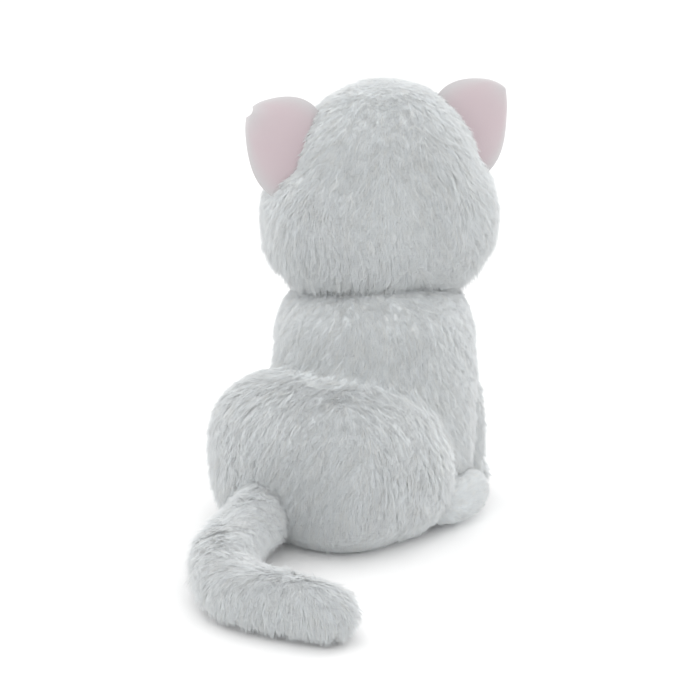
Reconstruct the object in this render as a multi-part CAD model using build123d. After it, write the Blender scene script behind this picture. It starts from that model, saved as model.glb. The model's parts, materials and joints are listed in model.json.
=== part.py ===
from build123d import *
import os
from math import atan2, cos, degrees, pi, radians, sin, sqrt

# Interactive plush cat, sitting, in millimetres. The body faces -Y and +Z is up.
# It is laid out from the middle of the seat, and save() moves it so that the written
# parts have their origin on the floor, straight under the neck's turning axis.

# ---------------------------------------------------------------- driving dimensions
NECK_X = 0.0
NECK_Y = -26.0
NECK_Z = 145.0
HEAD_YAW = 56.0  # the head rests turned to the cat's left
HEAD_ROLL = 4.0  # and leans a little towards that side

CHEST_R = 58.0
RUMP_WIDE = 146.0
RUMP_FRONT = -45.0
RUMP_BACK = 87.0
RUMP_TALL = 100.0
RUMP_CORNER = 52.0

CRANIUM_SEMI = (60.0, 57.0, 57.0)
CRANIUM_AT = (0.0, -2.0, 57.0)
CHEEK_SEMI = (70.0, 55.0, 39.0)
CHEEK_AT = (0.0, -5.0, 35.0)

NECK_BALL_R = 30.0
NECK_BORE_R = 24.0
NECK_TOP = 10.0  # top of the plush neck above the pivot
SOFT_GAP = 0.7
RUN = 0.05  # radial clearance of a running fit
SCREW_R = 1.2
SCREW_HEAD_R = 2.6
SCREW_HEAD_THICK = 1.6

WALL = 2.2
SHELL_X = 36.0
SHELL_FRONT = -62.0
SHELL_BACK = 40.0
SHELL_LOW = 27.0
SHELL_STEP_LOW = 74.0
SHELL_STEP_HIGH = 92.0
SHELL_NECK_BACK = 12.0
SHELL_TOP = 126.0
SHELL_ROUND = 5.0

BASE_X = 44.0
BASE_FRONT = -66.0
BASE_BACK = 40.0
BASE_ROUND = 14.0
BASE_FLOOR = 3.0
BASE_POST_R = 3.9

BAY_X = 24.6
BAY_FRONT = -20.0
BAY_BACK = 36.0
BAY_WALL = 1.6
BAY_ROOF = 24.0
DOOR_THICK = 2.2
CELL_R = 7.1
CELL_LONG = 50.0
CELL_GAP = 15.6
CELL_Z = 11.5

SPEAKER_Y = -43.0
SPEAKER_R = 18.0

MODULE = 0.8
PRESSURE = 20.0
BACKLASH = 0.16
CENTRE_EXTRA = 0.12
NECK_TEETH = 48
PINION_TEETH = 16
TAIL_TEETH = 40
JAW_TEETH = 32
SMALL_TEETH = 14

SHAFT_R = 4.0
PIN_R = 2.0

HEAD_SHELL_R = 44.0
HEAD_SHELL_AT = (0.0, -2.0, 60.0)
HEAD_SHELL_OPEN = 26.0

EYE_X = 24.0
EYE_Y = -41.0
EYE_Z = 61.0
EYE_R = 15.4
LID_IN = 16.0
LID_OUT = 17.0
LID_POCKET = 17.7
LID_FROM = 38.0
LID_TO = 138.0

JAW_Y = -18.0
JAW_Z = 36.0
JAW_SPLIT = 38.0

TAIL_R = 15.5
TAIL_ROOT = (0.0, 76.0, 24.0)
TAIL_POINTS = [(0.0, 76.0, 24.0), (-12.0, 121.0, 17.5), (-52.0, 167.0, 16.6), (-112.0, 156.0, 16.6)]
TAIL_BENDS = [40.0, 34.0]
TAIL_BALL_R = 17.0
TAIL_LID_X = 17.4
TAIL_LID_WALL = 1.2
TAIL_FAN_HALF = 40.5  # half the angle of the tail's toothed fan, cut through tooth gaps
TAIL_FAN_MIDDLE = 9.0
TAIL_HUB_R = 4.8
TAIL_SWEEP = (-24.0, 36.0)  # how far the slot for the tail reaches each side of straight back

PIVOT = (NECK_X, NECK_Y, NECK_Z)
HEAD = Pos(*PIVOT) * Rot(0, 0, HEAD_YAW) * Rot(0, HEAD_ROLL, 0)

os.makedirs("parts", exist_ok=True)


# ---------------------------------------------------------------- helpers
def save(name, *solids):
    """Writes one node: a single solid, or a group of separate solids."""
    moved = [Pos(-NECK_X, -NECK_Y, 0) * solid for solid in solids]
    shape = moved[0] if len(moved) == 1 else Compound(children=moved)
    shape.label = name
    export_step(shape, f"parts/{name}.step")


def one(shape):
    """The largest solid of a boolean result."""
    return max(shape.solids(), key=lambda solid: solid.volume)


def box(low, high):
    """A box between two corners."""
    size = [h - l for l, h in zip(low, high)]
    middle = [(h + l) / 2 for l, h in zip(low, high)]
    return Pos(*middle) * Box(*size)


def rod(radius, start, end):
    """A round bar between two points."""
    run = Vector(*end) - Vector(*start)
    middle = (Vector(*end) + Vector(*start)) / 2
    return Plane(origin=middle, z_dir=run) * Cylinder(radius, run.length)


def ball(at, radius):
    """A ball about a centre, with its poles along Y."""
    return Pos(*at) * Rot(90, 0, 0) * Sphere(radius)


def ellipsoid(at, semi):
    """An ellipsoid about a centre."""
    return Pos(*at) * scale(Sphere(1.0), by=semi)


def rounded_block(x, front, back, low, high, corner):
    """An upright block with rounded vertical edges."""
    outline = Pos(0, (front + back) / 2, low) * RectangleRounded(2 * x, back - front, corner)
    return extrude(outline, high - low)


def involute(base, radius):
    """Angle of the involute from a base circle, where it reaches a radius."""
    ratio = sqrt(max((radius / base) ** 2 - 1.0, 0.0))
    return ratio - atan2(ratio, 1.0)


def gear(teeth, wide, bore, sector=None):
    """A spur gear about Z with a tooth centred on +X; sector limits the angles that keep teeth."""
    pitch = MODULE * teeth / 2
    base = pitch * cos(radians(PRESSURE))
    tip = pitch + 0.95 * MODULE
    root = pitch - 1.2 * MODULE
    half = pi / (2 * teeth) - BACKLASH / (2 * pitch) + involute(base, pitch)
    flank_start = max(base, root + 0.05)
    radii = [flank_start + (tip - flank_start) * k / 3 for k in range(4)]
    points = []
    for tooth in range(teeth):
        middle = 2 * pi * tooth / teeth
        turned = (degrees(middle) + 180.0) % 360.0 - 180.0
        if sector is not None and abs(turned) > sector:
            points.append((root * cos(middle), root * sin(middle)))
            continue
        flank = [(r, half - involute(base, r)) for r in radii]
        flank = [(root, flank[0][1])] + flank
        low_side = [(r * cos(middle - a), r * sin(middle - a)) for r, a in flank]
        high_side = [(r * cos(middle + a), r * sin(middle + a)) for r, a in reversed(flank)]
        points.extend(low_side + high_side)
    face = make_face(Polyline(*points, close=True))
    if bore:
        face = face - Circle(bore)
    return one(extrude(face, wide))


def fan(radius, middle, half, hub, height):
    """A wedge about Z with a round hub, which trims a gear down to its sector."""
    edges = [radians(angle) for angle in (middle - half, middle, middle + half)]
    points = [(0.0, 0.0)] + [(radius * cos(angle), radius * sin(angle)) for angle in edges]
    return extrude(make_face(Polyline(*points, close=True)) + Circle(hub), height)


def mated(teeth, angle):
    """Turn that puts a tooth gap towards a mate whose tooth points at this angle."""
    return angle + 180.0 + 180.0 / teeth


def screw(at, direction, length, radius=SCREW_R, head=SCREW_HEAD_R):
    """A pan-head screw whose head sits at a point and whose shank runs along a direction."""
    plane = Plane(origin=at, z_dir=direction)
    body = Pos(0, 0, length / 2) * Cylinder(radius, length)
    cap = Pos(0, 0, -SCREW_HEAD_THICK / 2) * Cylinder(head, SCREW_HEAD_THICK)
    slot = Pos(0, 0, -SCREW_HEAD_THICK + 0.3) * Box(2 * head - 1.0, 0.7, 0.6)
    return one(plane * (body + cap - slot))


def mirrored(shape):
    """The same piece on the cat's other side, across the YZ plane."""
    return mirror(shape, about=Plane.YZ)


# ---------------------------------------------------------------- soft body
def chest():
    """Upright chest, turned from its outline, with a ball neck about the head's pivot."""
    top = NECK_Z - 7.0
    with BuildPart() as part:
        with BuildSketch(Plane.XZ):
            with BuildLine():
                Polyline((0, top + 1.0), (0, 0), (CHEST_R - 5, 0))
                Spline(
                    (CHEST_R - 5, 0),
                    (CHEST_R, 30),
                    (CHEST_R, 92),
                    (CHEST_R - 3, 118),
                    (CHEST_R - 11, 132),
                    (NECK_BALL_R - 1, top + 1.0),
                )
                Line((NECK_BALL_R - 1, top + 1.0), (0, top + 1.0))
            make_face()
        revolve(axis=Axis.Z)
    neck = Pos(0, 0, NECK_Z) * Sphere(NECK_BALL_R) - box((-60, -60, NECK_Z + NECK_TOP), (60, 60, NECK_Z + 60))
    neck = neck - box((-60, -60, NECK_Z - 60), (60, 60, top - 8.0))
    return Pos(NECK_X, NECK_Y, 0) * (part.part + neck)


def rump():
    """Broad seat behind the chest, boxy with large rounds."""
    block = rounded_block(RUMP_WIDE / 2, RUMP_FRONT, RUMP_BACK, 0, RUMP_TALL, RUMP_CORNER)
    block = fillet(block.faces().sort_by(Axis.Z)[-1].edges(), 40)
    return fillet(block.faces().sort_by(Axis.Z)[0].edges(), 12)


def front_leg():
    """Right front leg with its paw."""
    leg = Pos(-26, -68, 0) * extrude(Circle(17.5), 78)
    leg = fillet(leg.edges().sort_by(Axis.Z)[-1], 16)
    leg = fillet(leg.edges().sort_by(Axis.Z)[0], 7)
    paw = ellipsoid((-26, -80, 13), (16.5, 23, 13))
    return one(leg + paw)


def hind_foot():
    """Right hind foot, turned out a little."""
    return Pos(-54, -35, 14) * Rot(0, 0, 8) * scale(Sphere(1.0), by=(17, 31, 14))


def tail_path():
    return FilletPolyline(*TAIL_POINTS, radius=TAIL_BENDS)


def tail_tube():
    """Stuffed tail: a ball in the rump's pocket, a bent tube and a round tip."""
    path = tail_path()
    section = Plane(origin=path @ 0, z_dir=path % 0) * Circle(TAIL_R)
    tube = sweep(section, path=path)
    return one(tube + Pos(*TAIL_POINTS[-1]) * Sphere(TAIL_R) + Pos(*TAIL_ROOT) * Sphere(TAIL_BALL_R))


def tail_core():
    """Plastic core of the tail: an upright hub on the pin and an arm inside the tube."""
    root = Vector(*TAIL_POINTS[0])
    run = (Vector(*TAIL_POINTS[1]) - root).normalized()
    low = TAIL_ROOT[2] - TAIL_BALL_R
    hub = Pos(TAIL_ROOT[0], TAIL_ROOT[1], low) * extrude(Circle(6.0), 2 * TAIL_BALL_R)
    arm = rod(4.0, root, root + run * 38)
    bore = Pos(TAIL_ROOT[0], TAIL_ROOT[1], low) * extrude(Circle(2.5), 2 * TAIL_BALL_R)
    return one(hub + arm - bore)


def tail_pocket():
    """Room in the rump for the ball and for the tube as it swings."""
    room = Pos(*TAIL_ROOT) * Sphere(TAIL_BALL_R + SOFT_GAP)
    step = 6.0
    angle = TAIL_SWEEP[0]
    drop = (TAIL_POINTS[0][2] - TAIL_POINTS[1][2]) / 45.0
    while angle <= TAIL_SWEEP[1]:
        out = Vector(-sin(radians(angle)), cos(radians(angle)), -drop)
        room += rod(TAIL_R + 1.0, TAIL_ROOT, Vector(*TAIL_ROOT) + out * 40)
        angle += step
    return room


def soft_body(shell, base, legs, feet):
    """Chest and rump skin with stuffing, hollow where the hard body sits."""
    body = chest() + rump()
    body -= Pos(NECK_X, NECK_Y, SHELL_TOP - 2) * extrude(Circle(NECK_BORE_R), 60)
    body -= shell
    body -= base
    body -= tail_pocket()
    works_x = TAIL_LID_X + SOFT_GAP
    body -= box((-works_x, BASE_BACK - 1, 2.8), (works_x, TAIL_ROOT[1] + 7.5, 57))
    body -= box((-works_x, BASE_BACK - 1, 50), (works_x, TAIL_PINION_Y + 11, 84))
    for piece in legs + feet:
        body -= piece
    return one(body)


# ---------------------------------------------------------------- hard body
def shell_solid(grow=0.0):
    """Outside of the gearbox shell, or its inside when grown by a negative wall."""
    x = SHELL_X + grow
    with BuildPart() as part:
        with BuildSketch(Plane.YZ):
            with BuildLine():
                Polyline(
                    (SHELL_FRONT - grow, SHELL_LOW - grow),
                    (SHELL_BACK + grow, SHELL_LOW - grow),
                    (SHELL_BACK + grow, SHELL_STEP_LOW + grow / 2),
                    (SHELL_NECK_BACK + grow, SHELL_STEP_HIGH + grow / 2),
                    (SHELL_NECK_BACK + grow, SHELL_TOP + grow),
                    (SHELL_FRONT - grow, SHELL_TOP + grow),
                    close=True,
                )
            make_face()
        extrude(amount=x, both=True)
    sides = part.part.faces().filter_by(Axis.X).edges()
    return fillet(sides, SHELL_ROUND + grow)


def shell_bosses():
    """Screw bosses that join the two halves, as (y, z) places."""
    return [(-54.0, 37.0), (-54.0, 117.0), (-4.0, 119.0), (32.0, 40.0)]


def body_shell(outside, inside):
    """Both halves of the gearbox shell, split on the middle plane, and their screws."""
    hollow = outside - inside
    for y, z in shell_bosses():
        hollow += rod(3.6, (-SHELL_X + 1, y, z), (SHELL_X - 1, y, z))
    hollow -= Pos(NECK_X, NECK_Y, SHELL_TOP - 6) * extrude(Circle(7.0), 12)
    hollow -= rod(3.1, (0, SHELL_NECK_BACK - 6, 112), (0, SHELL_NECK_BACK + 4, 112))
    for y, z in shell_bosses():
        hollow -= rod(SCREW_R, (-SHELL_X - 1, y, z), (12, y, z))
        hollow -= rod(SCREW_HEAD_R, (-SHELL_X - 1, y, z), (-SHELL_X + SCREW_HEAD_THICK, y, z))
    for x, y in base_screw_places():
        hollow += Pos(x, y, SHELL_LOW + 0.5) * extrude(Circle(3.0), 6.0)
        hollow -= rod(SCREW_R, (x, y, SHELL_LOW - 1), (x, y, SHELL_LOW + 7))
    for x in (-11, 11):
        hollow -= rod(SCREW_R, (x, SHELL_BACK - 4, 34), (x, SHELL_BACK + 1, 34))
    left = one(hollow & box((0, -90, 0), (60, 90, 150)))
    right = one(hollow & box((-60, -90, 0), (0, 90, 150)))
    screws = [screw((-SHELL_X + SCREW_HEAD_THICK, y, z), (1, 0, 0), SHELL_X + 8) for y, z in shell_bosses()]
    return left, right, screws


def base_outline(grow, low, high):
    return rounded_block(BASE_X + grow, BASE_FRONT - grow, BASE_BACK + grow, low, high, BASE_ROUND + grow)


def door_outline(grow, low, high):
    return rounded_block(BAY_X + grow, BAY_FRONT - grow, BAY_BACK + grow, low, high, 3.0 + grow)


def base_housing():
    """Tray under the cat: battery bay, speaker grille, switch recess and screw posts."""
    tray = base_outline(0, 0, SHELL_LOW)
    tray -= base_outline(-WALL, BASE_FLOOR, SHELL_LOW + 1)
    bay = door_outline(BAY_WALL, 0.5, SHELL_LOW)
    tray += bay
    tray -= door_outline(0, -1, DOOR_THICK + 0.1)
    tray -= door_outline(-1.5, 0, BAY_ROOF)
    for ring, count in ((0.0, 1), (5.0, 6), (10.0, 12)):
        for k in range(count):
            turn = 2 * pi * k / count
            spot = (ring * cos(turn), SPEAKER_Y + ring * sin(turn))
            tray -= Pos(spot[0], spot[1], BASE_FLOOR / 2) * Cylinder(1.3, 2 * BASE_FLOOR)
    posts = base_screw_places()
    for x, y in posts:
        tray += Pos(x, y, 0.5) * extrude(Circle(BASE_POST_R), SHELL_LOW - 0.5)
    for x, y in posts:
        tray -= Pos(x, y, -1) * extrude(Circle(SCREW_R), SHELL_LOW + 2)
        tray -= Pos(x, y, -1) * extrude(Circle(SCREW_HEAD_R), 3.6)
    tray -= box((30, -50, -1), (41, -34, 1.6))
    tray -= box((33.5, -47, 1), (37.5, -37, 4))
    tray += box((-4, BAY_BACK - 6.5, DOOR_THICK + 0.1), (4, BAY_BACK, 4.2))
    tray -= rod(SCREW_R, (0, BAY_BACK - 4.0, -1), (0, BAY_BACK - 4.0, 6))
    return one(tray)


def base_screw_places():
    return [(-22.0, -54.0), (22.0, -54.0), (-29.6, 30.0), (29.6, 30.0)]


def battery_door():
    """Flat door of the battery bay, with two tongues and a screw hole."""
    gap = 0.3
    door = door_outline(-gap, 0, DOOR_THICK)
    for k in range(4):
        door -= box((-12, -14 + 3 * k, -1), (12, -12.8 + 3 * k, 0.5))
    door -= rod(SCREW_R, (0, BAY_BACK - 4.0, -1), (0, BAY_BACK - 4.0, 4))
    door -= rod(SCREW_HEAD_R, (0, BAY_BACK - 4.0, -1), (0, BAY_BACK - 4.0, SCREW_HEAD_THICK))
    return one(door)


def cells():
    """Three round cells lying side by side along Y."""
    middle = (BAY_FRONT + BAY_BACK) / 2
    made = []
    for k in (-1, 0, 1):
        start = middle - CELL_LONG / 2
        can = rod(CELL_R, (k * CELL_GAP, start, CELL_Z), (k * CELL_GAP, start + CELL_LONG - 1.5, CELL_Z))
        cap = rod(2.7, (k * CELL_GAP, start + CELL_LONG - 1.5, CELL_Z), (k * CELL_GAP, start + CELL_LONG, CELL_Z))
        made.append(can + cap)
    return made


def contacts():
    """Plates at both ends of the bay, with a stub spring at each cell's flat end."""
    middle = (BAY_FRONT + BAY_BACK) / 2
    made = []
    for k in (-1, 0, 1):
        x = k * CELL_GAP
        made.append(box((x - 5, BAY_BACK - 1.5 - 0.5, 5), (x + 5, BAY_BACK - 1.5, 18)))
        plate = box((x - 5, BAY_FRONT + 1.5, 5), (x + 5, BAY_FRONT + 2.0, 18))
        flat_end = middle - CELL_LONG / 2
        plate += rod(3.4, (x, BAY_FRONT + 2.0, CELL_Z), (x, flat_end, CELL_Z))
        made.append(one(plate))
    return made


def speaker():
    """Loudspeaker facing down over the grille: basket ring, cone and magnet."""
    z = BASE_FLOOR
    basket = Pos(0, SPEAKER_Y, z) * extrude(Circle(SPEAKER_R) - Circle(14.0), 2.0)
    basket += Pos(0, SPEAKER_Y, z + 2.0) * (
        Pos(0, 0, 4) * Cone(SPEAKER_R - 1, 10.0, 8) - Pos(0, 0, 4) * Cone(SPEAKER_R - 2.2, 8.8, 8)
    )
    cone = Pos(0, SPEAKER_Y, z + 0.6) * extrude(Circle(14.0), 0.8)
    magnet = Pos(0, SPEAKER_Y, z + 10.0) * extrude(Circle(10.0), 8.0)
    return one(basket), cone, magnet


def power_switch():
    """Slider of the power switch in its recess, and the switch body above it."""
    knob = box((32.4, -46, 0.4), (38.6, -41.6, 1.5))
    knob += box((34.2, -45, 1.5), (36.8, -42.6, 5.0))
    body = box((31, -49, 5.1), (40, -35, 9.5)) - box((33.6, -46.4, 5.0), (37.4, -37.0, 6.5))
    knob += box((34.2, -45, 5.0), (36.8, -42.6, 6.3))
    legs = box((31, -49, BASE_FLOOR), (32.5, -35, 5.1)) + box((38.5, -49, BASE_FLOOR), (40, -35, 5.1))
    return one(knob), one(body + legs)


def circuit_board():
    """Board on four posts above the shell's floor, with its chips."""
    low = SHELL_LOW + WALL
    board = box((-28, -48, low + 4), (28, 24, low + 5.6))
    for x in (-24, 24):
        for y in (-43, 19):
            board += rod(2.2, (x, y, low), (x, y, low + 4.1))
    top = low + 5.6
    chips = [
        box((-8, -24, top), (8, -8, top + 2.2)),
        box((12, -40, top), (20, -33, top + 1.8)),
        box((-22, 4, top), (-12, 14, top + 3.0)),
        rod(3.0, (15, 8, top), (15, 8, top + 8)),
    ]
    return one(board), chips


# ---------------------------------------------------------------- neck drive
GEAR_Z = 92.0
GEAR_WIDE = 6.0
PLATE_Z = 86.0
PLATE_THICK = 2.2
NECK_GEAR_REACH = MODULE * (NECK_TEETH + PINION_TEETH) / 2 + CENTRE_EXTRA
PINION_Y = NECK_Y + NECK_GEAR_REACH
NECK_BASE_Z = SHELL_TOP + 1.0


def gear_plate():
    """Deck inside the shell that carries the lower end of the neck shaft and the motor."""
    y_back = SHELL_NECK_BACK - WALL
    deck = box((-SHELL_X + WALL, SHELL_FRONT + WALL, PLATE_Z), (SHELL_X - WALL, y_back, PLATE_Z + PLATE_THICK))
    deck &= shell_solid(-WALL)
    deck -= Pos(NECK_X, NECK_Y, PLATE_Z - 1) * extrude(Circle(SHAFT_R + RUN), 8)
    deck -= Pos(NECK_X, PINION_Y, PLATE_Z - 1) * extrude(Circle(3.0), 8)
    return one(deck)


def neck_bush():
    """Flanged bush where the shaft leaves the shell."""
    bush = Pos(NECK_X, NECK_Y, SHELL_TOP - WALL) * extrude(Circle(7.0), WALL)
    bush += Pos(NECK_X, NECK_Y, SHELL_TOP - WALL - 1.5) * extrude(Circle(9.0), 1.5)
    return one(bush - Pos(NECK_X, NECK_Y, SHELL_TOP - 10) * extrude(Circle(SHAFT_R + RUN), 20))


def neck_shaft():
    return Pos(NECK_X, NECK_Y, PLATE_Z - 2) * extrude(Circle(SHAFT_R), NECK_Z - 8 - PLATE_Z + 2)


def neck_yoke():
    """Fork on the neck shaft, with a hole through both arms for the nod axle."""
    hub = Pos(NECK_X, NECK_Y, NECK_BASE_Z) * extrude(Circle(10.0), NECK_Z - 8 - NECK_BASE_Z)
    arm_in, arm_out = 7.5, 11.5
    deck = box((-arm_out, -5.5, -9.5), (arm_out, 5.5, -6.5))
    fork = deck
    for side in (-1, 1):
        arm = box((min(side * arm_in, side * arm_out), -5.5, -9.5), (max(side * arm_in, side * arm_out), 5.5, 4.5))
        fork += arm
    fork -= rod(PIN_R, (-20, 0, 0), (20, 0, 0))
    yoke = hub + HEAD * fork
    yoke -= Pos(NECK_X, NECK_Y, NECK_BASE_Z - 5) * extrude(Circle(SHAFT_R), NECK_Z - 8 - NECK_BASE_Z + 5)
    return one(yoke)


def motor(at, radius, length, shaft_r, shaft_up):
    """Small can motor standing on Z with a flat each side, and its shaft."""
    can = Pos(0, 0, -length) * extrude(Circle(radius), length)
    can -= box((radius - 2, -20, -length - 1), (radius + 5, 20, 1))
    can -= box((-radius - 5, -20, -length - 1), (-radius + 2, 20, 1))
    neck = extrude(Circle(2.9), 1.2)
    tail_boss = Pos(0, 0, -length - 1.5) * extrude(Circle(3.5), 1.6)
    shaft = extrude(Circle(shaft_r), shaft_up)
    return Pos(*at) * one(can + neck + tail_boss + shaft)


# ---------------------------------------------------------------- tail drive
TAIL_REACH = MODULE * (TAIL_TEETH + SMALL_TEETH) / 2 + CENTRE_EXTRA
TAIL_PINION_Y = TAIL_ROOT[1] - TAIL_REACH
TAIL_DECK_LOW = (3.8, 6.2)
TAIL_DECK_HIGH = (42.4, 44.8)
TAIL_GEAR_Z = 46.0
TAIL_GEAR_WIDE = 5.0
TAIL_LID_Z = 53.0


def tail_bracket():
    """Fork behind the shell whose two decks hold the tail's pin and whose top carries the motor."""
    x = 9.0
    back = TAIL_ROOT[1] + 6.5
    bracket = box((-x, BASE_BACK, TAIL_DECK_LOW[0]), (x, back, TAIL_DECK_LOW[1]))
    bracket += box((-15, BASE_BACK, TAIL_DECK_HIGH[0]), (15, back, TAIL_DECK_HIGH[1]))
    bracket += box((-15, BASE_BACK, TAIL_DECK_LOW[0]), (15, BASE_BACK + 2.6, TAIL_LID_Z))
    bracket -= rod(2.5 + RUN, (0, TAIL_ROOT[1], 0), (0, TAIL_ROOT[1], 60))
    for x_hole in (-11, 11):
        bracket -= rod(SCREW_R, (x_hole, BASE_BACK - 1, 34), (x_hole, BASE_BACK + 4, 34))
    return one(bracket)


def tail_gear_lid():
    """Cover over the tail's gears; the motor stands on it."""
    back = TAIL_ROOT[1] + 6.5
    front = BASE_BACK + 2.6
    inside = TAIL_LID_X - TAIL_LID_WALL
    lid = box((-TAIL_LID_X, front, TAIL_DECK_HIGH[1]), (TAIL_LID_X, back, TAIL_LID_Z + 1.8))
    lid -= box((-inside, front - 1, TAIL_DECK_HIGH[1] - 1), (inside, back - TAIL_LID_WALL, TAIL_LID_Z))
    lid -= rod(2.5 + RUN, (0, TAIL_ROOT[1], 40), (0, TAIL_ROOT[1], 60))
    lid -= rod(3.0, (0, TAIL_PINION_Y, 40), (0, TAIL_PINION_Y, 60))
    return one(lid)


# ---------------------------------------------------------------- head
def head_shell():
    """Ball shell in two halves, split across the ears, open below for the neck."""
    wall = ball(HEAD_SHELL_AT, HEAD_SHELL_R) - ball(HEAD_SHELL_AT, HEAD_SHELL_R - 2.0)
    wall -= box((-60, -60, -20), (60, 60, HEAD_SHELL_OPEN))
    for side in (-1, 1):
        wall -= ball((side * EYE_X, EYE_Y, EYE_Z), LID_POCKET)
    wall -= box((-15, -60, 24), (15, JAW_Y - 4, 46))
    wall -= rod(3.1, (0, HEAD_SHELL_AT[1], 90), (0, HEAD_SHELL_AT[1], 120))
    y = HEAD_SHELL_AT[1]
    front = one(wall & box((-60, -60, 0), (60, y, 120)))
    back = one(wall & box((-60, y, 0), (60, 60, 120)))
    return front, back


def head_bracket():
    """Saddle in the head that hangs on the nod axle and carries the jaw pin's ears."""
    saddle = box((-20.5, -12, HEAD_SHELL_OPEN + 0.5), (20.5, 12, HEAD_SHELL_OPEN + 3.0))
    for side in (-1, 1):
        low = min(side * 12.5, side * 15.5)
        high = max(side * 12.5, side * 15.5)
        saddle += box((low, -4.5, -4.0), (high, 4.5, HEAD_SHELL_OPEN + 1))
        ear_low = min(side * 16.5, side * 19.0)
        ear_high = max(side * 16.5, side * 19.0)
        saddle += box((ear_low, JAW_Y - 4, HEAD_SHELL_OPEN + 3.0), (ear_high, -8, JAW_Z + 5))
    saddle -= rod(PIN_R + RUN, (-20, 0, 0), (20, 0, 0))
    saddle -= rod(1.5, (-25, JAW_Y, JAW_Z), (25, JAW_Y, JAW_Z))
    return one(saddle)


def jaw_room():
    """Open pocket in the chin for the jaw as it drops."""
    return box((-19, -90, 12.5), (19, -28, JAW_SPLIT + 0.5))


def muzzle():
    """Soft upper muzzle, cut flat where it meets the jaw."""
    pad = ellipsoid((0, -57, 46), (23, 16, 13))
    pad -= box((-40, -90, 0), (40, 0, JAW_SPLIT + 0.5))
    pad -= ball(HEAD_SHELL_AT, HEAD_SHELL_R)
    for side in (-1, 1):
        pad -= ball((side * EYE_X, EYE_Y, EYE_Z), LID_POCKET)
    return one(pad)


def jaw_soft():
    """Soft lower jaw, cut flat where it meets the muzzle."""
    pad = ellipsoid((0, -54, JAW_SPLIT), (17, 16, 11))
    pad -= box((-40, -90, JAW_SPLIT), (40, 0, 80))
    return one(pad - jaw_frame())


def jaw_frame_bar():
    return box((-13, -56, 30), (13, -50, 33.5))


def jaw_frame():
    """Jaw lever: two arms on the jaw pin, a bar in the soft jaw and a toothed sector."""
    frame = jaw_frame_bar()
    for low, high in ((-13.0, -9.5), (9.5, 13.0)):
        frame += box((low, -56, 30), (high, -22, 33.5))
        frame += box((low, -24, 30), (high, JAW_Y + 3.5, JAW_Z + 2))
        frame += Pos((low + high) / 2, JAW_Y, JAW_Z) * Rot(0, 90, 0) * Cylinder(3.8, high - low)
    sector = gear(JAW_TEETH, 3.5, 0, sector=52)
    sector &= Pos(8, 0, 1.75) * Box(26, 24, 3.5)
    sector = Pos(-13, JAW_Y, JAW_Z) * Rot(0, 90, 0) * Rot(0, 0, 180) * sector
    frame += sector
    frame -= rod(1.5 + RUN, (-25, JAW_Y, JAW_Z), (25, JAW_Y, JAW_Z))
    return one(frame)


JAW_REACH = MODULE * (JAW_TEETH + SMALL_TEETH) / 2 + CENTRE_EXTRA


def jaw_pinion():
    made = gear(SMALL_TEETH, 3.5, 1.0)
    return Pos(-13, JAW_Y, JAW_Z + JAW_REACH) * Rot(0, 90, 0) * Rot(0, 0, mated(SMALL_TEETH, 180)) * made


def jaw_motor():
    can = motor((0, 0, 0), 7.5, 20, 1.0, 12)
    return Pos(-1, JAW_Y, JAW_Z + JAW_REACH) * Rot(0, -90, 0) * can


def eyes():
    """Right eyeball on its stem, bored for the lid axle."""
    eye = ball((-EYE_X, EYE_Y, EYE_Z), EYE_R)
    stem_end = EYE_Y + EYE_R + 2.0
    eye += rod(4.0, (-EYE_X, EYE_Y + EYE_R - 3, EYE_Z + 5), (-EYE_X, stem_end, EYE_Z + 5))
    eye -= rod(1.5 + RUN, (-60, EYE_Y, EYE_Z), (0, EYE_Y, EYE_Z))
    return one(eye)


def eye_carrier():
    """Cross bar inside the head shell that both eyeballs are fixed to."""
    y = EYE_Y + EYE_R + 2.0
    bar = box((-35, y, EYE_Z + 1.5), (35, y + 2.0, EYE_Z + 9))
    for side in (-1, 1):
        bar += box((side * 35 - 1.2, y, EYE_Z + 1.5), (side * 35 + 1.2, HEAD_SHELL_AT[1], EYE_Z + 9))
    bar &= ball(HEAD_SHELL_AT, HEAD_SHELL_R - 2.0)
    return one(bar)


def eyelid():
    """Right eyelid: part of a thin ball between two planes through the axle, with two hubs."""
    centre = Pos(-EYE_X, EYE_Y, EYE_Z)
    skin = Sphere(LID_OUT) - Sphere(LID_IN)
    reach = 40.0
    middle = radians((LID_FROM + LID_TO) / 2)
    corners = [(0.0, 0.0)]
    for angle in (radians(LID_FROM), middle, radians(LID_TO)):
        corners.append((-reach * cos(angle), reach * sin(angle)))
    wedge_face = make_face(Plane.YZ * Polyline(*corners, close=True))
    wedge = extrude(wedge_face, amount=20, both=True)
    lid = skin & wedge
    for side in (-1, 1):
        lid += rod(3.2, (side * 15.6, 0, 0), (side * 17.0, 0, 0))
    lid = centre * lid
    lid -= rod(1.5, (-60, EYE_Y, EYE_Z), (0, EYE_Y, EYE_Z))
    return one(lid)


def eyelid_weight():
    """Steel weight hung behind the lid axle, which keeps the lids up while the cat sits."""
    weight_y = EYE_Y + 5.0
    weight_z = EYE_Z - 9.5
    lever = rod(2.6, (-2, EYE_Y, EYE_Z), (2, EYE_Y, EYE_Z)) + rod(1.4, (0, EYE_Y, EYE_Z), (0, weight_y, weight_z))
    weight = rod(3.6, (-6, weight_y, weight_z), (6, weight_y, weight_z))
    return one(lever + weight - rod(1.5, (-9, EYE_Y, EYE_Z), (9, EYE_Y, EYE_Z)))


def ear():
    """Left ear: a flat padded rounded triangle that stands up and outwards."""
    thick = 6.0
    outline = Polyline((34, 88), (58, 54), (77, 100), (68, 108), (50, 105), close=True)
    face = fillet(make_face(outline).vertices().sort_by(Axis.Y)[1:], 7)
    pad = extrude(Plane.XZ * face, amount=thick / 2, both=True)
    return Pos(0, 2, 0) * one(pad)


def nose():
    return ellipsoid((0, -72, 53), (5.2, 3.4, 3.4))


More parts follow.
